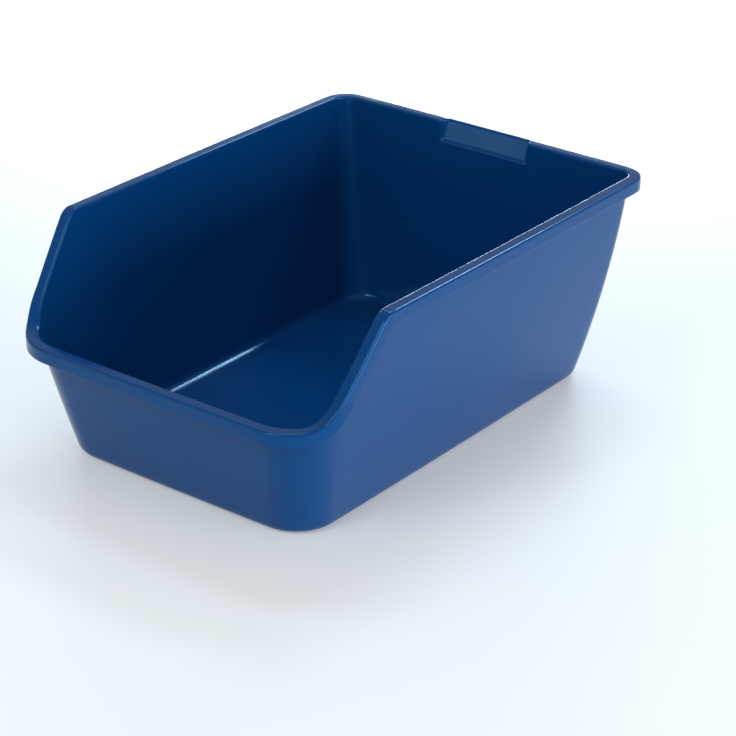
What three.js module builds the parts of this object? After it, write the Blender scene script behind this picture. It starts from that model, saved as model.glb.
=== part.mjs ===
// A high-sided cat litter tray, moulded in one piece from gloss polypropylene.
//
// The tray is a thin tapered tub. Its back and sides are high, and the sides slope down to a low
// front where the cat steps in. A turned-over rim runs round the whole opening, and a sloping
// finger recess is moulded into the middle of the back wall, under the rim.
//
// Millimetres, +Z up. The origin is the middle of the footprint's box, on the ground.
// The low front faces -Y, and +X is the right side when looking from the front to the back.
import * as THREE from 'three';

// ---- Driving dimensions ----
const WIDTH = 450; // over the rim
const LENGTH = 610; // over the rim
const HEIGHT = 250; // ground to the top of the rim at the back
const FRONT_HEIGHT = 144; // ground to the top of the rim at the front
const WALL = 2.3; // thickness of the moulding

// The foot of the walls, measured outside at ground level, before the bottom edge is rounded.
const BASE_HALF_WIDTH = 171.5;
const BASE_REAR_Y = 266;
const BASE_FRONT_Y = -258.5;
const BOTTOM_EDGE_RADIUS = 9;

// Plan radius of the wall's corners, at the ground and at full height.
const REAR_RADIUS = { base: 38, top: 20.5 };
const FRONT_RADIUS = { base: 49, top: 62 };

// The walls are slightly convex: up and down, and along their length.
const WALL_BELLY = 5;
const FRONT_BELLY = 0.5;
const PLAN_CROWN = 0.8;

// The side profile: level at the back, a slope, then level again at the front.
const SLOPE_TOP_Y = -186.5;
const SLOPE_FOOT_Y = -266;
const SLOPE_TOP_RADIUS = 22;
const SLOPE_FOOT_RADIUS = 24;

// The rim's section, outward from the wall and down from the top.
const RIM_OVERHANG = 12.3; // from the outside of the wall to the outside of the skirt
const RIM_SKIRT = 16.2; // height of the turned-down edge
const RIM_FALL = 0.5; // how far the rim's top falls towards its outer edge
const RIM_CREST_RADIUS = 1.8; // over the inside of the wall
const RIM_EDGE_RADIUS = 2.6; // from the top to the skirt
const SKIRT_EDGE_RADIUS = 0.8; // along the skirt's lower edge

// The finger recess in the back wall. Its face leans out from the wall to a narrow lip of rim.
const RECESS_WIDTH = 130;
const RECESS_HEIGHT = 25;
const RECESS_DEPTH = { foot: 2, top: 9.5 };
const RECESS_END = 4; // width of the steep end walls
const RECESS_STEP = 1.5; // half the height of the step at its foot

// A quarter turn in three points: its middle point stands in from both edges by this share.
const QUARTER_TURN_INSET = 0.3;
// The wall's outside runs into the rim's underside this far from the wall's face.
const UNDER_RIM_INSET = 0.4;

// How finely the curves are divided.
const SIDE_STEPS = 6;
const BEND_STEPS = 5;
const REAR_CORNER_STEPS = 7;
const FRONT_CORNER_STEPS = 14;
const END_STEPS = 6;
const EDGE_STEPS = 3;
const HALVINGS = 40;

const COLOUR = 0x153f7a;

// ---- The wall ----

const mix = (a, b, t) => a + (b - a) * t;
const parabola = (t) => 4 * t * (1 - t);

// The four straight sides and the corner radii of the outside of the wall at height z.
function wallLimits(z) {
  const t = z / HEIGHT;
  const f = z / FRONT_HEIGHT;
  const belly = WALL_BELLY * parabola(t);
  const underRim = RIM_OVERHANG + PLAN_CROWN;
  return {
    halfWidth: mix(BASE_HALF_WIDTH, WIDTH / 2 - underRim, t) + belly,
    rear: mix(BASE_REAR_Y, LENGTH / 2 - underRim, t) + belly,
    front: mix(BASE_FRONT_Y, underRim - LENGTH / 2, f) - FRONT_BELLY * parabola(f),
    rearRadius: mix(REAR_RADIUS.base, REAR_RADIUS.top, t),
    frontRadius: mix(FRONT_RADIUS.base, FRONT_RADIUS.top, t),
  };
}

// A station is a place on the plan outline: a straight side and a share of its length, or a
// corner and an angle. It gives a point of the outside of the wall at any height.
function onSide(from, to, outward, share) {
  const point = (z) => {
    const limits = wallLimits(z);
    const [a, b] = [from(limits), to(limits)];
    const crown = PLAN_CROWN * parabola(share);
    return new THREE.Vector2(
      mix(a[0], b[0], share) + outward.x * crown,
      mix(a[1], b[1], share) + outward.y * crown,
    );
  };
  return { point, outward };
}

function onCorner(centre, radius, angle) {
  const outward = new THREE.Vector2(Math.cos(angle), Math.sin(angle));
  const point = (z) => {
    const limits = wallLimits(z);
    const [x, y] = centre(limits);
    return new THREE.Vector2(x, y).addScaledVector(outward, radius(limits));
  };
  return { point, outward };
}

const rearEnd = (side) => (l) => [side * (l.halfWidth - l.rearRadius), l.rear];
const frontEnd = (side) => (l) => [side * (l.halfWidth - l.frontRadius), l.front];
const sideRear = (side) => (l) => [side * l.halfWidth, l.rear - l.rearRadius];
const sideFront = (side) => (l) => [side * l.halfWidth, l.front + l.frontRadius];
const rearCentre = (side) => (l) => [side * (l.halfWidth - l.rearRadius), l.rear - l.rearRadius];
const frontCentre = (side) => (l) => [
  side * (l.halfWidth - l.frontRadius),
  l.front + l.frontRadius,
];

// ---- The top line ----

const SLOPE_ANGLE = Math.atan2(HEIGHT - FRONT_HEIGHT, SLOPE_TOP_Y - SLOPE_FOOT_Y);
const TOP_BEND = bend(SLOPE_TOP_Y, SLOPE_TOP_RADIUS, 1);
const FOOT_BEND = bend(SLOPE_FOOT_Y, SLOPE_FOOT_RADIUS, -1);

// A rounded bend of the top line: where its arc meets the level stretch and the slope.
function bend(cornerY, radius, direction) {
  const tangent = radius * Math.tan(SLOPE_ANGLE / 2);
  return {
    radius,
    levelY: cornerY + direction * tangent,
    slopeY: cornerY - direction * tangent * Math.cos(SLOPE_ANGLE),
  };
}

// Height of the rim's top at a place along the tray.
function topLine(y) {
  if (y >= TOP_BEND.levelY) return HEIGHT;
  if (y <= FOOT_BEND.levelY) return FRONT_HEIGHT;
  const drop = (b) => b.radius - Math.sqrt(b.radius ** 2 - (y - b.levelY) ** 2);
  if (y > TOP_BEND.slopeY) return HEIGHT - drop(TOP_BEND);
  if (y < FOOT_BEND.slopeY) return FRONT_HEIGHT + drop(FOOT_BEND);
  return FRONT_HEIGHT + (y - SLOPE_FOOT_Y) * Math.tan(SLOPE_ANGLE);
}

// The wall leans, so the top's height and its place along the tray are found together, by
// moving halfway to the answer again and again.
function topHeight(station) {
  let z = HEIGHT;
  for (let i = 0; i < HALVINGS; i++) z = mix(z, topLine(station.point(z).y), 0.5);
  return z;
}

// ---- The stations, anticlockwise from the front end of the right side ----

// Shares of a side's length, measured at full height, that put stations where the top line bends.
function sideShares() {
  const [rearY, frontY] = [sideRear(1)(wallLimits(HEIGHT))[1], sideFront(1)(wallLimits(HEIGHT))[1]];
  const shares = [];
  for (let i = 0; i < SIDE_STEPS; i++) shares.push(mix(rearY, TOP_BEND.levelY, i / SIDE_STEPS));
  for (let i = 0; i <= BEND_STEPS; i++) {
    const angle = (SLOPE_ANGLE * i) / BEND_STEPS;
    shares.push(TOP_BEND.levelY - TOP_BEND.radius * Math.sin(angle));
  }
  return shares.map((y) => (rearY - y) / (rearY - frontY)).filter((share) => share < 1);
}

function rearShares() {
  const half = wallLimits(HEIGHT).halfWidth - wallLimits(HEIGHT).rearRadius;
  const inner = RECESS_WIDTH / 2 - RECESS_END;
  const outer = RECESS_WIDTH / 2;
  const right = [0, inner / 2, inner, outer, mix(outer, half, 0.5), half];
  const left = right.slice(1).reverse().map((x) => -x);
  return [...left, ...right].map((x) => (x + half) / (2 * half));
}

function makeStations() {
  const stations = [];
  const corner = (centre, radius, start, steps) => {
    for (let i = 1; i < steps; i++) {
      stations.push(onCorner(centre, radius, start + ((Math.PI / 2) * i) / steps));
    }
  };
  const side = (from, to, angle, shares) => {
    const outward = new THREE.Vector2(Math.cos(angle), Math.sin(angle));
    for (const share of shares) stations.push(onSide(from, to, outward, share));
  };
  const shares = sideShares();
  const level = Array.from({ length: END_STEPS + 1 }, (_, i) => i / END_STEPS);
  side(sideFront(1), sideRear(1), 0, [0, ...shares.map((s) => 1 - s).reverse()]);
  corner(rearCentre(1), (l) => l.rearRadius, 0, REAR_CORNER_STEPS);
  side(rearEnd(1), rearEnd(-1), Math.PI / 2, rearShares());
  corner(rearCentre(-1), (l) => l.rearRadius, Math.PI / 2, REAR_CORNER_STEPS);
  side(sideRear(-1), sideFront(-1), Math.PI, [...shares, 1]);
  corner(frontCentre(-1), (l) => l.frontRadius, Math.PI, FRONT_CORNER_STEPS);
  side(frontEnd(-1), frontEnd(1), (3 * Math.PI) / 2, level);
  corner(frontCentre(1), (l) => l.frontRadius, (3 * Math.PI) / 2, FRONT_CORNER_STEPS);
  return stations;
}

// The rim's section stands square to the top line: each station's own "up" leans with the slope.
function addTopFrames(stations) {
  for (const station of stations) {
    station.top = topHeight(station);
    const at = station.point(station.top);
    station.path = new THREE.Vector3(at.x, at.y, station.top);
  }
  stations.forEach((station, i) => {
    const before = stations.at(i - 1).path;
    const after = stations[(i + 1) % stations.length].path;
    const along = after.clone().sub(before).normalize();
    station.out = new THREE.Vector3(station.outward.x, station.outward.y, 0);
    station.up = along.clone().cross(station.out).normalize();
    if (station.up.z < 0) station.up.negate();
    const nearMiddle = Math.abs(station.path.x) < (RECESS_WIDTH - RECESS_END) / 2;
    station.recessed = station.outward.y === 1 && nearMiddle;
  });
}

// ---- The section at one station, from the inside of the floor round to the underside ----

// How far the recess pushes the wall outward at a height.
function recessDepth(station, z) {
  const share = (z - (station.top - RECESS_HEIGHT)) / RECESS_HEIGHT;
  if (!station.recessed || share < 0) return 0;
  return mix(RECESS_DEPTH.foot, RECESS_DEPTH.top, Math.min(share, 1));
}

function section(station) {
  const points = [];
  const wall = (z, inward) => {
    const p = station.point(z);
    const shift = recessDepth(station, z) - inward;
    points.push(new THREE.Vector3(p.x, p.y, z).addScaledVector(station.out, shift));
  };
  const bottomEdge = (centreZ, inward, step) => {
    const angle = ((Math.PI / 2) * step) / EDGE_STEPS;
    const p = station.point(centreZ);
    const shift = BOTTOM_EDGE_RADIUS * (Math.sin(angle) - 1) - inward;
    const z = centreZ - BOTTOM_EDGE_RADIUS * Math.cos(angle);
    points.push(new THREE.Vector3(p.x, p.y, z).addScaledVector(station.out, shift));
  };
  const rim = (out, down) => {
    const p = station.path.clone();
    points.push(p.addScaledVector(station.out, out).addScaledVector(station.up, -down));
  };
  const { recessed } = station;
  const foot = station.top - RECESS_HEIGHT;
  const wallShares = [0.25, 0.5, 0.75, 1];

  // Inside: the rounded edge of the floor, then the wall.
  const innerFoot = WALL + BOTTOM_EDGE_RADIUS;
  for (let i = 0; i <= EDGE_STEPS; i++) bottomEdge(innerFoot, WALL, i);
  for (const share of wallShares) wall(mix(innerFoot, foot - RECESS_STEP, share), WALL);
  wall(foot + RECESS_STEP, WALL);
  wall(station.top - 2 * RIM_CREST_RADIUS, WALL);

  // The rim's top: a rounded crest, a nearly flat top and a rounded outer edge. The recess takes
  // away the inner part of it, so there the two rounded edges meet.
  const outer = RIM_OVERHANG;
  const crest = recessed ? RECESS_DEPTH.top - WALL : -WALL;
  const edgeStart = outer - RIM_EDGE_RADIUS;
  rim(crest, RIM_CREST_RADIUS);
  rim(crest + RIM_CREST_RADIUS * QUARTER_TURN_INSET, RIM_CREST_RADIUS * QUARTER_TURN_INSET);
  rim(crest + RIM_CREST_RADIUS, 0);
  rim(edgeStart, RIM_FALL);
  const edgeInset = RIM_EDGE_RADIUS * QUARTER_TURN_INSET;
  rim(outer - edgeInset, RIM_FALL + edgeInset);
  rim(outer, RIM_FALL + RIM_EDGE_RADIUS);

  // The skirt, then the underside of the rim back to the wall.
  const inside = outer - WALL;
  const rimUnder = RIM_FALL + WALL;
  rim(outer, RIM_SKIRT - SKIRT_EDGE_RADIUS);
  rim(outer - SKIRT_EDGE_RADIUS, RIM_SKIRT);
  rim(inside + SKIRT_EDGE_RADIUS, RIM_SKIRT);
  rim(inside, RIM_SKIRT - SKIRT_EDGE_RADIUS);
  rim(inside, rimUnder);
  rim(recessed ? RECESS_DEPTH.top - UNDER_RIM_INSET : UNDER_RIM_INSET, rimUnder);

  // Outside: the wall, then the rounded bottom edge.
  wall(foot + RECESS_STEP, 0);
  for (const share of [...wallShares].reverse()) {
    wall(mix(BOTTOM_EDGE_RADIUS, foot - RECESS_STEP, share), 0);
  }
  for (let i = EDGE_STEPS; i >= 0; i--) bottomEdge(BOTTOM_EDGE_RADIUS, 0, i);
  return points;
}

// ---- The solid ----

// Joins the sections into one closed skin, with a fan over the floor and another underneath.
function loft(sections) {
  const count = sections.length;
  const rows = sections[0].length;
  const positions = sections.flat().flatMap((p) => p.toArray());
  const centreY = (BASE_REAR_Y + BASE_FRONT_Y) / 2;
  positions.push(0, centreY, WALL, 0, centreY, 0);
  const [floorCentre, underCentre] = [count * rows, count * rows + 1];
  const index = [];
  for (let i = 0; i < count; i++) {
    const a = i * rows;
    const b = ((i + 1) % count) * rows;
    index.push(floorCentre, a, b);
    for (let j = 0; j < rows - 1; j++) index.push(a + j, a + j + 1, b + j, a + j + 1, b + j + 1, b + j);
    index.push(underCentre, b + rows - 1, a + rows - 1);
  }
  const geometry = new THREE.BufferGeometry();
  geometry.setAttribute('position', new THREE.Float32BufferAttribute(positions, 3));
  geometry.setIndex(index);
  geometry.computeVertexNormals();
  return geometry;
}

function makeTray() {
  const stations = makeStations();
  addTopFrames(stations);
  const material = new THREE.MeshStandardMaterial({ color: COLOUR, roughness: 0.3, metalness: 0 });
  const mesh = new THREE.Mesh(loft(stations.map(section)), material);
  mesh.name = 'tray';
  return mesh;
}

const group = new THREE.Group();
group.add(makeTray());

export default group;
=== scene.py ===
# %% [markdown]
# # A high-sided litter tray, moulded in one piece
#
# The real tray is one thin skin of gloss polypropylene. Melted plastic is pressed between two
# halves of a mould, so the same wall runs on from the floor, up the sides and over the rim.
# We model it the same way: first a sheet with no thickness, shaped like the inside of the tray
# and the top of its rim, and at the end Solidify gives the sheet its wall.
#
# All sizes are in metres. The tray stands on the ground, its low front faces -Y and its right
# side is +X. It is the same on both sides, so only the right half is shaped by hand.

# %% Load the frame
import math

import bmesh
import bpy
from mathutils import Matrix, Vector


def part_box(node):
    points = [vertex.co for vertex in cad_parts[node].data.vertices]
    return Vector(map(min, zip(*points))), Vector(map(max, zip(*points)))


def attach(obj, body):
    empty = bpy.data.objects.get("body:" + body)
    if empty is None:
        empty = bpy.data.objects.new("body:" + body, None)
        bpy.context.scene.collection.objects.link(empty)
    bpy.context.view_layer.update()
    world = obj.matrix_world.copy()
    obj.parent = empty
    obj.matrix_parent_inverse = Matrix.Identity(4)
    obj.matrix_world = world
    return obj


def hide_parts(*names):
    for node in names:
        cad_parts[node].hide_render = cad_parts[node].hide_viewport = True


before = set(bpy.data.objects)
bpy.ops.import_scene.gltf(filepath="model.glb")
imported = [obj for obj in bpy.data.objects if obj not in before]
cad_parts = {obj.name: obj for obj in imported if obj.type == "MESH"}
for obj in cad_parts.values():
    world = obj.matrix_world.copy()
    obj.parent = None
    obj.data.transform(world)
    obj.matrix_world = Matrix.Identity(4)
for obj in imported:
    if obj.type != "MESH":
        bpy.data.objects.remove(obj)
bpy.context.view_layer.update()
tray_low, tray_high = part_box("tray")
print("CAD box", [round(size, 4) for size in tray_high - tray_low])

# %% [markdown]
# ## Sizes
#
# The overall sizes come from the frame. The rest are the tray's own: how far in its walls stand
# at the ground, how round its corners are, where its sides slope down to the front, and the
# section of its turned-over rim.

# %% Sizes of the tray
HALF_WIDTH = tray_high.x
HALF_LENGTH = tray_high.y
HEIGHT = tray_high.z
FRONT_HEIGHT = 0.144
WALL = 0.0023

BASE_HALF_WIDTH = 0.1715
BASE_REAR = 0.266
BASE_FRONT = -0.2585
FLOOR_EDGE_RADIUS = 0.009
REAR_RADIUS = (0.038, 0.0205)
FRONT_RADIUS = (0.049, 0.062)

WALL_BELLY = 0.005
PLAN_CROWN = 0.0008

SLOPE_TOP = -0.1865
SLOPE_FOOT = -0.266
SLOPE_TOP_RADIUS = 0.022
SLOPE_FOOT_RADIUS = 0.024
SLOPE_ANGLE = math.atan2(HEIGHT - FRONT_HEIGHT, SLOPE_TOP - SLOPE_FOOT)

RIM_OVERHANG = 0.0123
RIM_SKIRT = 0.0162
RIM_FALL = 0.0005
CREST_RADIUS = 0.0026
RIM_EDGE_RADIUS = 0.0028

RECESS_HALF_WIDTH = 0.065
RECESS_HEIGHT = 0.025
RECESS_DEPTH = (0.002, 0.0095)
RECESS_END_WIDTH = 0.007
RECESS_FOOT_WIDTH = 0.003

# %% [markdown]
# ## Helpers
#
# A menu command acts on whatever is selected, so each step first says what that is. `only`
# selects one object, and `pick` selects the vertices, edges or faces that pass a test.

# %% Selecting by rule
TINY = 1e-5


def mix(a, b, share):
    return a + (b - a) * share


def parabola(share):
    """0 at both ends and 1 in the middle."""
    return 4 * share * (1 - share)


def only(piece):
    bpy.ops.object.select_all(action="DESELECT")
    piece.select_set(True)
    bpy.context.view_layer.objects.active = piece


def edit(piece):
    only(piece)
    bpy.ops.object.mode_set(mode="EDIT")


def leave():
    bpy.ops.object.mode_set(mode="OBJECT")


def pick(piece, kind, test):
    bpy.ops.mesh.select_mode(type=kind)
    bpy.ops.mesh.select_all(action="DESELECT")
    mesh = bmesh.from_edit_mesh(piece.data)
    items = {"VERT": mesh.verts, "EDGE": mesh.edges, "FACE": mesh.faces}[kind]
    chosen = [item for item in items if test(item)]
    for item in chosen:
        item.select_set(True)
    bmesh.update_edit_mesh(piece.data)
    return len(chosen)


def apply_modifiers(piece):
    only(piece)
    for modifier in list(piece.modifiers):
        bpy.ops.object.modifier_apply(modifier=modifier.name)


# %% [markdown]
# ## The outline of the walls
#
# Seen from above, half the tray is a rectangle with two round corners. A plane is that
# rectangle, and a vertex bevel rounds the corners. Its straight sides are then cut at chosen
# stations: close together where the top edge will bend and where the finger recess ends, and
# far apart where nothing happens. Every height uses the same stations, so two outlines can be
# bridged with clean four-sided faces.

# %% Stations along the straight sides
CORNER_SEGMENTS = {"front": 14, "rear": 9}
FRONT_SHARES = (0.25, 0.5, 0.75)
STEPS_BEFORE_BEND = 5
STEPS_IN_BEND = 8
STEPS_AFTER_BEND = 12
RECESS_SHARES = (0.22, 0.44, 0.66)
RECESS_END_STEP = 0.0015
RECESS_END_STEPS = range(-7, 3)
BEYOND_RECESS_SHARES = (0.08, 0.25, 0.5, 0.75)


def side_shares():
    """Shares of a side's length from its front end, measured at full height."""
    front, rear = straight_side(HEIGHT)
    tangent = SLOPE_TOP_RADIUS * math.tan(SLOPE_ANGLE / 2)
    bend_rear = SLOPE_TOP + tangent
    bend_front = SLOPE_TOP - tangent * math.cos(SLOPE_ANGLE)
    before = [step / STEPS_BEFORE_BEND for step in range(1, STEPS_BEFORE_BEND)]
    bend = [step / STEPS_IN_BEND for step in range(-1, STEPS_IN_BEND + 2)]
    after = [step / STEPS_AFTER_BEND for step in range(1, STEPS_AFTER_BEND)]
    places = [mix(front, bend_front, share) for share in before]
    places += [mix(bend_front, bend_rear, share) for share in bend]
    places += [mix(bend_rear, rear, share) for share in after]
    return [(place - front) / (rear - front) for place in places]


def rear_shares():
    """Shares of half the back wall from the middle, with a fine stretch at the recess's end."""
    end = wall_limits(HEIGHT)["half_width"] - wall_limits(HEIGHT)["rear_radius"]
    middle = [RECESS_HALF_WIDTH * share for share in RECESS_SHARES]
    fine = [RECESS_HALF_WIDTH + RECESS_END_STEP * step for step in RECESS_END_STEPS]
    beyond = [mix(fine[-1], end, share) for share in BEYOND_RECESS_SHARES]
    return [place / end for place in middle + fine + beyond]


def wall_limits(z):
    """The straight sides and corner radii of the inside of the wall at height z."""
    up = z / HEIGHT
    under_rim = RIM_OVERHANG + PLAN_CROWN
    return {
        "half_width": mix(BASE_HALF_WIDTH, HALF_WIDTH - under_rim, up) - WALL,
        "rear": mix(BASE_REAR, HALF_LENGTH - under_rim, up) - WALL,
        "front": mix(BASE_FRONT, under_rim - HALF_LENGTH, z / FRONT_HEIGHT) + WALL,
        "rear_radius": mix(*REAR_RADIUS, up) - WALL,
        "front_radius": mix(*FRONT_RADIUS, up) - WALL,
    }


def straight_side(z):
    limits = wall_limits(z)
    return limits["front"] + limits["front_radius"], limits["rear"] - limits["rear_radius"]


# %% Draw one outline
def half_outline(name, z):
    limits = wall_limits(z)
    half, front, rear = limits["half_width"], limits["front"], limits["rear"]
    bpy.ops.mesh.primitive_plane_add(size=1, location=(half / 2, (front + rear) / 2, z))
    outline = bpy.context.object
    outline.name = name
    outline.scale = (half, rear - front, 1)
    bpy.ops.object.transform_apply(location=True, rotation=True, scale=True)
    edit(outline)
    for end in ("front", "rear"):
        pick(outline, "VERT", lambda v: v.co.x > TINY and abs(v.co.y - limits[end]) < TINY)
        radius, segments = limits[end + "_radius"], CORNER_SEGMENTS[end]
        bpy.ops.mesh.bevel(affect="VERTICES", offset=radius, segments=segments, profile=0.5)
    bpy.ops.mesh.select_all(action="SELECT")
    bpy.ops.mesh.delete(type="ONLY_FACE")
    pick(outline, "EDGE", lambda e: all(v.co.x < TINY for v in e.verts))
    bpy.ops.mesh.delete(type="EDGE")
    side_front, side_rear = straight_side(z)
    for share in side_shares():
        place = mix(side_front, side_rear, share)
        pick(outline, "EDGE", lambda e: all(abs(v.co.x - half) < TINY for v in e.verts))
        bpy.ops.mesh.bisect(plane_co=(0, place, 0), plane_no=(0, 1, 0))
    for wall, radius, shares in (
        (front, limits["front_radius"], FRONT_SHARES),
        (rear, limits["rear_radius"], rear_shares()),
    ):
        for share in shares:
            place = share * (half - radius)
            pick(outline, "EDGE", lambda e: all(abs(v.co.y - wall) < TINY for v in e.verts))
            bpy.ops.mesh.bisect(plane_co=(place, 0, 0), plane_no=(1, 0, 0))
    leave()
    return outline


foot_line = half_outline("foot_line", WALL)
top_line = half_outline("top_line", HEIGHT)
print("stations", len(foot_line.data.vertices), len(top_line.data.vertices))

# %% [markdown]
# ## The sloping sides
#
# From the side, the top edge is level at the back, bends down a steep slope and bends level
# again at the low front. The slope could be cut away from full-height walls with a knife or a
# boolean, but that leaves ragged faces under the rim. Instead each vertex of the upper outline
# slides down its own line of the wall until it meets the profile, so that the bridged faces
# will follow the slope.

# %% Slide the upper outline down to the profile
def profile_height(y):
    """Height of the top edge: two straight levels and a slope, joined by arcs."""
    tangents = [r * math.tan(SLOPE_ANGLE / 2) for r in (SLOPE_TOP_RADIUS, SLOPE_FOOT_RADIUS)]
    top_level, foot_level = SLOPE_TOP + tangents[0], SLOPE_FOOT - tangents[1]
    if y >= top_level:
        return HEIGHT
    if y <= foot_level:
        return FRONT_HEIGHT
    if y > SLOPE_TOP - tangents[0] * math.cos(SLOPE_ANGLE):
        return HEIGHT - SLOPE_TOP_RADIUS + math.sqrt(SLOPE_TOP_RADIUS**2 - (y - top_level) ** 2)
    if y < SLOPE_FOOT + tangents[1] * math.cos(SLOPE_ANGLE):
        reach = math.sqrt(SLOPE_FOOT_RADIUS**2 - (y - foot_level) ** 2)
        return FRONT_HEIGHT + SLOPE_FOOT_RADIUS - reach
    return FRONT_HEIGHT + (y - SLOPE_FOOT) * math.tan(SLOPE_ANGLE)


def chain(piece, wanted=lambda edge: True):
    """Numbers and places of a chain's vertices, from the middle of the front to the back."""
    mesh = bmesh.new()
    mesh.from_mesh(piece.data)
    links = {}
    for edge in filter(wanted, mesh.edges):
        for vertex in edge.verts:
            links.setdefault(vertex, []).append(edge.other_vert(vertex))
    here = min((v for v in links if len(links[v]) == 1), key=lambda v: v.co.y)
    order, last = [], None
    while here:
        order.append((here.index, here.co.copy()))
        last, here = here, next((v for v in links[here] if v != last), None)
    mesh.free()
    return order


def outward(co):
    """The wall's direction in plan: straight off a side, or off the centre of a corner."""
    limits = wall_limits(co.z)
    radius = limits["rear_radius"] if co.y > 0 else limits["front_radius"]
    front, rear = straight_side(co.z)
    core = Vector((min(co.x, limits["half_width"] - radius), min(max(co.y, front), rear), co.z))
    return (co - core).normalized()


def move_each(piece, moves):
    """Move each numbered vertex by its own vector."""
    edit(piece)
    for number, move in moves:
        if move.length > TINY:
            pick(piece, "VERT", lambda v: v.index == number)
            bpy.ops.transform.translate(value=move)
    leave()


HALVINGS = 40


def slide_down(upper, lower):
    """Slide each upper vertex down its wall, halving its error each time round the loop."""
    moves, directions = [], []
    for (number, high), (_, low) in zip(chain(upper), chain(lower)):
        direction = outward(high)
        share = 1.0
        for _ in range(HALVINGS):
            outside_y = mix(low.y, high.y, share) + direction.y * WALL
            wanted = (profile_height(outside_y) - low.z) / (high.z - low.z)
            share = mix(share, wanted, 0.5)
        moves.append((number, (low - high) * (1 - share)))
        directions.append(direction)
    move_each(upper, moves)
    return directions


wall_directions = slide_down(top_line, foot_line)
print("front height", round(min(v.co.z for v in top_line.data.vertices), 4))

# %% [markdown]
# ## The walls
#
# Bridge joins the two outlines and cuts the walls into rows. The sharp line where wall and
# floor meet gets a bevel. For that moment the floor is one big face. It goes away again, and
# comes back at the end as a proper grid.

# %% Bridge the outlines and round the floor's edge
ROWS = 8
WALL_TURN = math.radians(80)
FLOOR_EDGE_SEGMENTS = 5


def bridge_walls(lower, upper):
    only(lower)
    upper.select_set(True)
    bpy.ops.object.join()
    sheet = bpy.context.object
    sheet.name = sheet.data.name = "litter_tray"
    edit(sheet)
    bpy.ops.mesh.select_mode(type="EDGE")
    bpy.ops.mesh.select_all(action="SELECT")
    bpy.ops.mesh.bridge_edge_loops(type="SINGLE", number_cuts=ROWS - 1, interpolation="LINEAR")
    return sheet


def round_floor_edge(sheet):
    pick(sheet, "EDGE", lambda e: all(abs(v.co.z - WALL) < TINY for v in e.verts))
    bpy.ops.mesh.edge_face_add()
    pick(
        sheet,
        "EDGE",
        lambda e: all(abs(v.co.z - WALL) < TINY for v in e.verts)
        and max(v.co.x for v in e.verts) > TINY,
    )
    setback = FLOOR_EDGE_RADIUS * math.tan(WALL_TURN / 2)
    bpy.ops.mesh.bevel(offset=setback, segments=FLOOR_EDGE_SEGMENTS, profile=0.5)
    pick(sheet, "FACE", lambda f: all(abs(v.co.z - WALL) < TINY for v in f.verts))
    bpy.ops.mesh.delete(type="FACE")
    leave()


tray = bridge_walls(foot_line, top_line)
round_floor_edge(tray)
print("wall faces", len(tray.data.polygons))

# %% [markdown]
# ## More rows where the shape needs them
#
# A surface can only curve where it has vertices. The top band of the back wall will hold the
# finger recess, so its edges are cut finely, and finest at the recess's foot. The other bands
# are halved, so that the walls can bulge smoothly.

# %% Cut the rows
def on_outer_edge(edge):
    """Open edges round the top or the skirt, and not those in the mirror plane or the floor."""
    low, out = min(v.co.z for v in edge.verts), max(v.co.x for v in edge.verts)
    return edge.is_boundary and out > TINY and low > FRONT_HEIGHT / 2


def rows_from_edge(sheet):
    """Each vertex's row, counted from the sheet's open outer edge."""
    mesh = bmesh.from_edit_mesh(sheet.data)
    front = {v for edge in mesh.edges if on_outer_edge(edge) for v in edge.verts}
    rows, row = {}, 0
    while front:
        rows.update({v.index: row for v in front})
        beyond = {edge.other_vert(v) for v in front for edge in v.link_edges}
        front = {v for v in beyond if v.index not in rows}
        row += 1
    return rows


def cut_band(sheet, row, cuts):
    """Cut the edges that run from this row to the next one down."""
    rows = rows_from_edge(sheet)
    pick(sheet, "EDGE", lambda e: {rows[v.index] for v in e.verts} == {row, row + 1})
    bpy.ops.mesh.subdivide(number_cuts=cuts)


edit(tray)
for row in range(6, 1, -1):
    cut_band(tray, row, 1)
cut_band(tray, 1, 2)
cut_band(tray, 0, 5)
cut_band(tray, 5, 3)
cut_band(tray, 4, 3)
leave()
print("wall faces", len(tray.data.polygons))

# %% [markdown]
# ## Bulge and crown
#
# Thin moulded walls are never flat. They are drawn slightly convex, because a flat wall shrinks
# hollow as it cools and looks dented. A Displace modifier with no texture moves vertices along
# one axis by a fixed amount, and a vertex group says how much of it each one takes. Used so it
# is an exact and repeatable version of proportional editing.

# %% Push parts of the wall outwards
def clamp(value):
    return min(max(value, 0.0), 1.0)


def push(piece, axis, amount, reach):
    """Move vertices along an axis by an amount times their own reach, from 0 to 1."""
    only(piece)
    weights = [reach(vertex) for vertex in piece.data.vertices]
    group = piece.vertex_groups.new(name="reach")
    for number, weight in enumerate(weights):
        group.add([number], weight, "REPLACE")
    bpy.ops.object.modifier_add(type="DISPLACE")
    modifier = piece.modifiers[-1]
    modifier.direction = axis
    modifier.mid_level = 0
    modifier.strength = amount
    modifier.vertex_group = group.name
    apply_modifiers(piece)
    piece.vertex_groups.clear()


def side_share(co):
    """Place along the straight side: 0 at its front end and 1 at its rear end."""
    front, rear = straight_side(co.z)
    return (co.y - front) / (rear - front)


def end_share(co):
    """Place along a straight end wall: 0 in the middle and 1 where the corner starts."""
    limits = wall_limits(co.z)
    radius = limits["rear_radius"] if co.y > 0 else limits["front_radius"]
    return co.x / (limits["half_width"] - radius)


def bulge(co):
    return parabola(clamp(co.z / HEIGHT))


def side_bulge(vertex):
    return clamp(end_share(vertex.co)) * bulge(vertex.co)


def rear_bulge(vertex):
    front, rear = SLOPE_TOP + SLOPE_TOP_RADIUS, straight_side(vertex.co.z)[1]
    return clamp((vertex.co.y - front) / (rear - front)) * bulge(vertex.co)


def side_crown(vertex):
    return parabola(clamp(side_share(vertex.co)))


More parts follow.
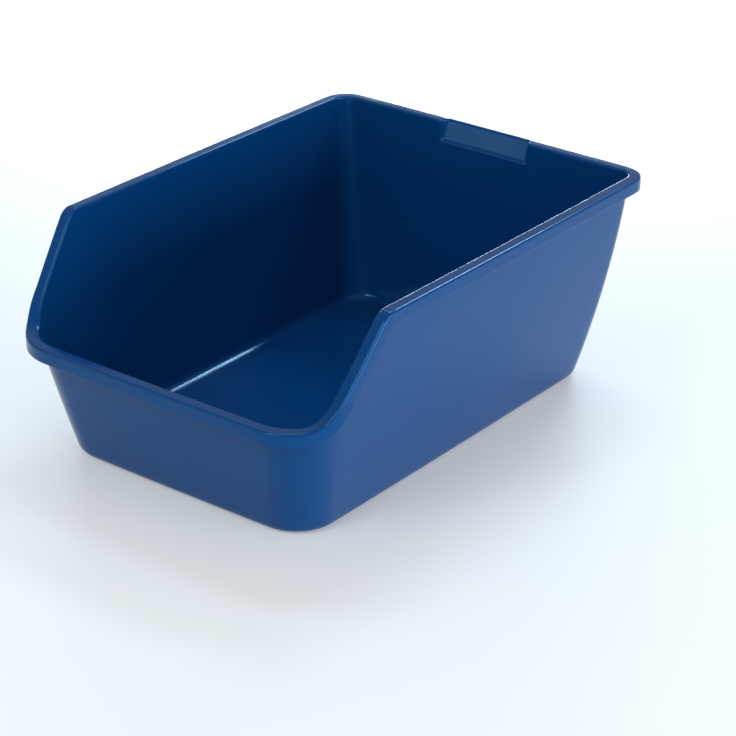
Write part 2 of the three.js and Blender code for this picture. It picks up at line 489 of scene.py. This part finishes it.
def end_crown(side):
    def reach(vertex):
        return 1 - clamp(end_share(vertex.co)) ** 2 if vertex.co.y * side > 0 else 0.0

    return reach


push(tray, "X", WALL_BELLY, side_bulge)
push(tray, "Y", WALL_BELLY, rear_bulge)
push(tray, "X", PLAN_CROWN, side_crown)
push(tray, "Y", PLAN_CROWN, end_crown(1))
push(tray, "Y", -PLAN_CROWN, end_crown(-1))
print("wall top half width", round(max(v.co.x for v in tray.data.vertices), 4))

# %% [markdown]
# ## The rim
#
# The rim turns out over the wall and down again. Its section is the same all the way round and
# stands square to the top edge, so where the sides slope the skirt leans with them. A curve
# with a bevel profile could be swept round, but its section would also turn in plan where the
# leaning walls draw in along the slope. Extruding the top edge twice, and moving each new vertex
# by its own vector, keeps the rim's top level from side to side.
#
# Plastic can't be moulded to a sharp edge, and it is the round edges that catch the light. Each
# extrusion leaves one sharp line, which is bevelled before the next. The crest can't be much
# rounder than it is: the wall's top row is only 3 mm high at the front, and a bevel that passes
# the next row folds the surface over.

# %% Extrude the rim and round its edges
RIM_SEGMENTS = 4
SHARP = math.radians(60)
RIM_TURN = math.radians(86)


def extrude_edge(sheet, vectors):
    edit(sheet)
    pick(sheet, "EDGE", on_outer_edge)
    bpy.ops.mesh.extrude_edges_move()
    leave()
    numbers = [number for number, _ in chain(sheet, on_outer_edge)]
    move_each(sheet, zip(numbers, vectors))


def round_sharp_edge(sheet, radius):
    edit(sheet)
    found = pick(sheet, "EDGE", lambda e: e.is_manifold and e.calc_face_angle() > SHARP)
    setback = radius * math.tan(RIM_TURN / 2)
    bpy.ops.mesh.bevel(offset=setback, segments=RIM_SEGMENTS, profile=0.5)
    leave()
    return found


def rim_ups(sheet, directions):
    """Square to the top edge and to the wall's own direction, at each vertex."""
    path = [co for _, co in chain(sheet, on_outer_edge)]
    ups = []
    for i, direction in enumerate(directions):
        along = path[min(i + 1, len(path) - 1)] - path[max(i - 1, 0)]
        up = along.cross(direction).normalized()
        ups.append(up if up.z > 0 else -up)
    return ups


def add_rim(sheet, directions):
    ups = rim_ups(sheet, directions)
    reach = RIM_OVERHANG + WALL
    extrude_edge(sheet, [out * reach - up * RIM_FALL for out, up in zip(directions, ups)])
    print("crest edges", round_sharp_edge(sheet, CREST_RADIUS))
    extrude_edge(sheet, [-up * (RIM_SKIRT - RIM_FALL) for up in ups])
    print("outer edges", round_sharp_edge(sheet, RIM_EDGE_RADIUS))
    edit(sheet)
    cut_band(sheet, RIM_SEGMENTS + 1, 3)
    cut_band(sheet, 0, 3)
    leave()


add_rim(tray, wall_directions)
print("rim width", round(max(v.co.x for v in tray.data.vertices) * 2, 4))

# %% [markdown]
# ## The whole tray
#
# Mirror makes the left half, and merges the two along the middle. The floor is filled from its
# edge inwards: two insets carry the walls' stations on to the flat, and a grid fills the rest.

# %% Mirror the half and fill the floor
FLOOR_RINGS = (0.004, 0.012)
FLOOR_GRID_SPAN = 36


def on_floor_edge(edge):
    return edge.is_boundary and all(abs(v.co.z - WALL) < TINY for v in edge.verts)


def mirror(piece):
    only(piece)
    bpy.ops.object.modifier_add(type="MIRROR")
    piece.modifiers[-1].merge_threshold = WALL / 10
    apply_modifiers(piece)


def start_at_front_corner(sheet):
    """Grid fill counts its four sides from the active vertex."""
    mesh = bmesh.from_edit_mesh(sheet.data)
    corner_y = straight_side(WALL)[0]
    edge = [v for v in mesh.verts if v.select and v.co.x > 0]
    mesh.select_history.clear()
    mesh.select_history.add(min(edge, key=lambda v: abs(v.co.y - corner_y)))


def fill_floor(sheet):
    edit(sheet)
    pick(sheet, "EDGE", on_floor_edge)
    bpy.ops.mesh.edge_face_add()
    for width in FLOOR_RINGS:
        bpy.ops.mesh.select_mode(type="FACE")
        bpy.ops.mesh.inset(thickness=width)
    bpy.ops.mesh.delete(type="ONLY_FACE")
    pick(sheet, "EDGE", on_floor_edge)
    start_at_front_corner(sheet)
    bpy.ops.mesh.fill_grid(span=FLOOR_GRID_SPAN)
    bpy.ops.mesh.select_all(action="SELECT")
    bpy.ops.mesh.normals_make_consistent(inside=False)
    leave()


def floor_normal(sheet):
    return max(sheet.data.polygons, key=lambda face: face.area * (face.center.z < 2 * WALL)).normal.z


mirror(tray)
fill_floor(tray)
if floor_normal(tray) < 0:
    tray.data.flip_normals()
print("faces", len(tray.data.polygons), "floor normal", round(floor_normal(tray), 3))

# %% [markdown]
# ## Thickness
#
# Solidify grows the wall on the far side of the sheet: outside the walls, below the floor and
# inside the rim. Its even thickness keeps the corners as thick as the flats. It closes the
# skirt with a narrow strip, whose two edges are the only sharp ones, and so easy to find.

# %% Give the sheet its wall
SKIRT_EDGE_RADIUS = 0.0008
SKIRT_SEGMENTS = 2


def thicken(sheet):
    only(sheet)
    sheet.vertex_groups.new(name="outside")
    bpy.ops.object.modifier_add(type="SOLIDIFY")
    solidify = sheet.modifiers[-1]
    solidify.thickness = WALL
    solidify.offset = -1
    solidify.use_even_offset = True
    solidify.use_quality_normals = True
    solidify.shell_vertex_group = "outside"
    apply_modifiers(sheet)
    edit(sheet)
    pick(sheet, "EDGE", lambda e: e.is_manifold and e.calc_face_angle() > SHARP)
    bpy.ops.mesh.bevel(offset=SKIRT_EDGE_RADIUS, segments=SKIRT_SEGMENTS, profile=0.5)
    leave()


thicken(tray)
print("faces", len(tray.data.polygons), "lowest", round(min(v.co.z for v in tray.data.vertices), 5))

# %% [markdown]
# ## The finger recess
#
# In the middle of the back wall a shallow pocket lets the fingers in under the rim. Its face
# leans out from a small step at its foot to a narrow lip at the rim. Both sides of the wall move
# together here. The outside moves over a slightly larger patch, which keeps the pocket's steep
# end walls thick.

# %% Press the recess into the back wall
def smooth_step(share):
    return share * share * (3 - 2 * share)


def recess_mask(x, z, grow):
    """1 over the pocket's face, falling to 0 over its curved ends and its narrower foot."""
    end = clamp((RECESS_HALF_WIDTH + grow - abs(x)) / RECESS_END_WIDTH)
    foot = clamp((z + grow - (HEIGHT - RECESS_HEIGHT)) / RECESS_FOOT_WIDTH + 0.5)
    return smooth_step(end) * smooth_step(foot)


def rim_lip(y):
    """1 on the wall and 0 on the skirt, so that the flat of the rim narrows between them."""
    skirt = HALF_LENGTH - WALL
    wall = skirt - (RIM_OVERHANG - WALL)
    return 1 - clamp((y - wall) / (skirt - wall))


def recess(vertex):
    x, y, z = vertex.co
    if y < BASE_REAR - WALL:
        return 0.0
    rise = clamp((z - (HEIGHT - RECESS_HEIGHT)) / RECESS_HEIGHT)
    depth = mix(*RECESS_DEPTH, rise) / RECESS_DEPTH[1]
    grow = WALL if vertex.groups else 0
    return depth * recess_mask(x, z, grow) * rim_lip(y)


push(tray, "Y", RECESS_DEPTH[1], recess)
print("recess lip", round(RIM_OVERHANG + WALL - RECESS_DEPTH[1], 4))

# %% [markdown]
# ## Smooth it
#
# One level of Subdivision Surface turns the short straight segments of every bend into curves.

# %% Subdivide and shade smooth
def smooth(piece):
    only(piece)
    bpy.ops.object.modifier_add(type="SUBSURF")
    piece.modifiers[-1].levels = 1
    piece.modifiers[-1].render_levels = 1
    apply_modifiers(piece)
    bpy.ops.object.shade_smooth()
    piece.vertex_groups.clear()


smooth(tray)
print("triangles", sum(len(face.vertices) - 2 for face in tray.data.polygons))

# %% [markdown]
# ## Gloss polypropylene
#
# The plastic is coloured right through, and it takes its gloss from the polished mould. Up close
# it isn't perfect: the surface has a very fine orange peel, thin walls keep a slow waviness where
# they shrank, and use leaves hair scratches and small dull patches. Each of these is noise at its
# own scale. An image texture could hold them too, but noise in Object coordinates never
# stretches, and needs no unwrapping.
#
# Two effects are node groups with named inputs, so that any moulded part could use them again:
# one for the relief of the surface and one for its wear.

# %% Build a node group
def new_group(name, inputs, outputs):
    group = bpy.data.node_groups.new(name, "ShaderNodeTree")
    for label, kind, value in inputs:
        socket = group.interface.new_socket(label, in_out="INPUT", socket_type=kind)
        if value is not None:
            socket.default_value = value
    for label, kind in outputs:
        group.interface.new_socket(label, in_out="OUTPUT", socket_type=kind)
    start = group.nodes.new("NodeGroupInput")
    end = group.nodes.new("NodeGroupOutput")
    return group, start, end


def add_node(tree, kind, **settings):
    """A node with its properties and unlinked inputs set by name."""
    node = tree.nodes.new(kind)
    for name, value in settings.items():
        if hasattr(node, name):
            setattr(node, name, value)
        else:
            node.inputs[name.replace("_", " ").title()].default_value = value
    return node


def noise(tree, place, scale, detail=2.0, roughness=0.5):
    node = add_node(tree, "ShaderNodeTexNoise", scale=scale, detail=detail, roughness=roughness)
    tree.links.new(place, node.inputs["Vector"])
    return node.outputs["Fac"]


def math_node(tree, operation, first, second):
    node = add_node(tree, "ShaderNodeMath", operation=operation)
    for socket, value in zip(node.inputs, (first, second)):
        if isinstance(value, bpy.types.NodeSocket):
            tree.links.new(value, socket)
        else:
            socket.default_value = value
    return node.outputs["Value"]


def ramp(tree, value, low, high):
    """0 below low and 1 above high."""
    node = add_node(tree, "ShaderNodeMapRange", interpolation_type="SMOOTHSTEP")
    tree.links.new(value, node.inputs["Value"])
    node.inputs["From Min"].default_value = low
    node.inputs["From Max"].default_value = high
    return node.outputs["Result"]


# %% The relief of a moulded surface
WAVE_HEIGHT = 0.0004
WAVE_SCALE = 9.0
PEEL_HEIGHT = 0.000004
PEEL_SCALE = 900.0


def moulded_relief():
    """Height in metres: slow waviness of the wall, plus fine orange peel."""
    group, start, end = new_group(
        "moulded_relief",
        [
            ("Place", "NodeSocketVector", None),
            ("Wave Height", "NodeSocketFloat", WAVE_HEIGHT),
            ("Peel Height", "NodeSocketFloat", PEEL_HEIGHT),
        ],
        [("Height", "NodeSocketFloat")],
    )
    place = start.outputs["Place"]
    waves = noise(group, place, WAVE_SCALE, detail=1.0, roughness=0.4)
    peel = noise(group, place, PEEL_SCALE, detail=1.0)
    wave_height = math_node(group, "MULTIPLY", waves, start.outputs["Wave Height"])
    peel_height = math_node(group, "MULTIPLY", peel, start.outputs["Peel Height"])
    total = math_node(group, "ADD", wave_height, peel_height)
    group.links.new(total, end.inputs["Height"])
    return group


# %% The wear of a moulded surface
SCRATCH_SETS = (
    {"turn": (0.3, 0.2, 0.4), "stretch": (700, 14, 14)},
    {"turn": (0.3, 0.95, 1.9), "stretch": (12, 620, 16)},
)
SCRATCH_LIMITS = (0.70, 0.76)
PATCH_SCALE = 22.0
PATCH_LIMITS = (0.42, 0.72)


def moulded_wear():
    """Hair scratches from cleaning and dull patches from handling, each 0 to 1."""
    group, start, end = new_group(
        "moulded_wear",
        [("Place", "NodeSocketVector", None)],
        [("Scratches", "NodeSocketFloat"), ("Dullness", "NodeSocketFloat")],
    )
    place = start.outputs["Place"]
    scratches = None
    for hair_set in SCRATCH_SETS:
        lines = add_node(group, "ShaderNodeMapping")
        lines.inputs["Rotation"].default_value = hair_set["turn"]
        lines.inputs["Scale"].default_value = hair_set["stretch"]
        group.links.new(place, lines.inputs["Vector"])
        streaks = noise(group, lines.outputs["Vector"], 1.0, detail=1.0)
        hairs = ramp(group, streaks, *SCRATCH_LIMITS)
        scratches = hairs if scratches is None else math_node(group, "MAXIMUM", scratches, hairs)
    blotches = noise(group, place, PATCH_SCALE, detail=4.0, roughness=0.6)
    patches = ramp(group, blotches, *PATCH_LIMITS)
    group.links.new(math_node(group, "MULTIPLY", scratches, patches), end.inputs["Scratches"])
    group.links.new(patches, end.inputs["Dullness"])
    return group


# %% The tray's plastic
NAVY = (0.0016, 0.046, 0.175, 1)
NAVY_DEEP = (0.0012, 0.040, 0.155, 1)
COOL_GLOSS = (0.28, 0.70, 1.0, 1)
GLOSS = 0.13
DULL = 0.21
CLOUD_SCALE = 7.0
POLYPROPYLENE_IOR = 1.49
REFLECTION_LEVEL = 0.4


def use_group(tree, group, place):
    node = tree.nodes.new("ShaderNodeGroup")
    node.node_tree = group
    tree.links.new(place, node.inputs["Place"])
    return node


def tray_plastic():
    material = bpy.data.materials.new("navy_polypropylene")
    material.use_nodes = True
    tree = material.node_tree
    shader = tree.nodes["Principled BSDF"]
    shader.inputs["IOR"].default_value = POLYPROPYLENE_IOR
    shader.inputs["Specular IOR Level"].default_value = REFLECTION_LEVEL
    shader.inputs["Specular Tint"].default_value = COOL_GLOSS
    place = tree.nodes.new("ShaderNodeTexCoord").outputs["Object"]
    relief = use_group(tree, moulded_relief(), place)
    wear = use_group(tree, moulded_wear(), place)

    # Colour: the pigment never mixes quite evenly.
    cloud = noise(tree, place, CLOUD_SCALE, detail=3.0)
    pigment = add_node(tree, "ShaderNodeMix", data_type="RGBA")
    tree.links.new(cloud, pigment.inputs["Factor"])
    pigment.inputs["A"].default_value = NAVY_DEEP
    pigment.inputs["B"].default_value = NAVY
    tree.links.new(pigment.outputs["Result"], shader.inputs["Base Color"])

    # Gloss: dull patches and scratches scatter the reflection.
    dullness = math_node(tree, "MAXIMUM", wear.outputs["Dullness"], wear.outputs["Scratches"])
    finish = add_node(tree, "ShaderNodeMapRange")
    tree.links.new(dullness, finish.inputs["Value"])
    finish.inputs["To Min"].default_value = GLOSS
    finish.inputs["To Max"].default_value = DULL
    tree.links.new(finish.outputs["Result"], shader.inputs["Roughness"])

    bump = add_node(tree, "ShaderNodeBump")
    bump.inputs["Distance"].default_value = 1.0
    tree.links.new(relief.outputs["Height"], bump.inputs["Height"])
    tree.links.new(bump.outputs["Normal"], shader.inputs["Normal"])
    return material


tray.data.materials.append(tray_plastic())

# %% [markdown]
# ## Hand the piece to the frame
#
# The tray has no moving part, so it rides on the one body, "root". It stands for the plain CAD
# tray, which is hidden but still does the collisions.
# Its place is in its mesh, with the object itself at the origin, so there is nothing to line up.

# %% Ride and replace
tray.name = "tray_moulding"
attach(tray, "root")
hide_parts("tray")

# %% [markdown]
# ## The studio floor
#
# A product stands on a white sweep, lit until it is nearly as bright as paper. A large plane is
# enough for that, because its far edge is out of view. A little emission lifts its greys without
# lighting the tray more from one side, and it still takes a soft shadow and a faint contact line.
# It lies half a millimetre low, so that it never shares a plane with the underside of the tray.

# %% Floor
FLOOR_SIZE = 12
FLOOR_GAP = 0.0005
FLOOR_GREY = 0.66
FLOOR_GLOW = 0.24


def make_floor():
    bpy.ops.mesh.primitive_plane_add(size=FLOOR_SIZE, location=(0, 0, -FLOOR_GAP))
    floor = bpy.context.object
    floor.name = "studio_floor"
    material = bpy.data.materials.new("pale_floor")
    material.use_nodes = True
    shader = material.node_tree.nodes["Principled BSDF"]
    shader.inputs["Base Color"].default_value = (FLOOR_GREY, FLOOR_GREY, FLOOR_GREY, 1)
    shader.inputs["Roughness"].default_value = 0.6
    shader.inputs["Emission Color"].default_value = (1, 1, 1, 1)
    shader.inputs["Emission Strength"].default_value = FLOOR_GLOW
    floor.data.materials.append(material)
    return floor


make_floor()

# %% [markdown]
# ## Lights
#
# A dark, glossy thing is drawn by what it reflects. Lamps shown as points would leave a few hot
# dots on it, so each light here is a softbox, a glowing rectangle. The one on the right fills the
# long side, one in front lifts the low front, and a weak one at the front left is mirrored only by
# the leaning face of the finger recess. The three behind are seen in the rim and along the
# rounded edge of the floor inside, as thin bright lines. They are kept out of the directions that
# the flat top of the rim mirrors to the camera, because there they would turn the rim white.

# %% Softboxes and sky
def bearing(azimuth, elevation):
    """A unit vector away from the tray: azimuth 0 is on its front side, and 90 on its right."""
    a, e = math.radians(azimuth), math.radians(elevation)
    return Vector((math.sin(a) * math.cos(e), -math.cos(a) * math.cos(e), math.sin(e)))


COOL = (0.66, 0.85, 1.0)
PALE = (0.84, 0.95, 1.0)
LIGHT_DISTANCE = 2.5
LIGHT_AIM = Vector((0, 0, 0.15))
SKY = 0.42


def softbox(name, angles, size, power, colour):
    """A soft light at an azimuth and elevation seen from the tray, aimed at it."""
    away = bearing(*angles)
    bpy.ops.object.light_add(type="AREA", location=LIGHT_AIM + away * LIGHT_DISTANCE)
    light = bpy.context.object
    light.name = name
    light.data.shape = "RECTANGLE"
    light.data.size, light.data.size_y = size
    light.data.energy = power
    light.data.color = colour
    light.rotation_euler = away.to_track_quat("Z", "Y").to_euler()


world = bpy.data.worlds.new("studio")
world.use_nodes = True
sky = world.node_tree.nodes["Background"]
sky.inputs["Color"].default_value = (1, 1, 1, 1)
sky.inputs["Strength"].default_value = SKY
bpy.context.scene.world = world
bpy.context.scene.view_settings.view_transform = "Standard"
softbox("rear_left_wall", (218, 3), (1.8, 0.5), 50, COOL)
softbox("rear_strip", (186, 43), (0.7, 0.4), 18, COOL)
softbox("overhead", (213, 62), (0.9, 0.5), 11, COOL)
softbox("right_key", (90, 6), (2.0, 0.8), 52, PALE)
softbox("front_key", (0, 36), (0.9, 0.9), 19, PALE)
softbox("recess_fill", (325, 17), (0.9, 0.7), 3.8, COOL)

# %% [markdown]
# ## Camera
#
# A long lens from about 2.8 metres keeps the tray's long edges nearly parallel. The camera could
# be aimed with a Track To constraint, but its own axes say the same in three lines, and leave
# room for the slight roll. It looks at a point inside the tray, a little right of its middle.

# %% Camera
def aim_camera(azimuth, elevation, roll, target, distance, lens):
    """A camera round the tray: azimuth 0 looks along +Y, and roll turns it about its view."""
    back = bearing(azimuth, elevation)
    right = (-back).cross(Vector((0, 0, 1))).normalized()
    upward = right.cross(-back)
    turn = Matrix.Rotation(math.radians(roll), 3, back)
    axes = Matrix((turn @ right, turn @ upward, back)).transposed()
    place = Vector(target) + back * distance
    bpy.ops.object.camera_add(location=place)
    camera = bpy.context.object
    camera.rotation_euler = axes.to_euler()
    camera.data.lens = lens
    camera.data.sensor_width = 36
    return camera


CAMERA_TARGET = (0.0542, 0, 0.0676)
camera = aim_camera(
    azimuth=37.66, elevation=25.95, roll=0.33, target=CAMERA_TARGET, distance=2.7691, lens=121.55
)
bpy.context.scene.camera = camera
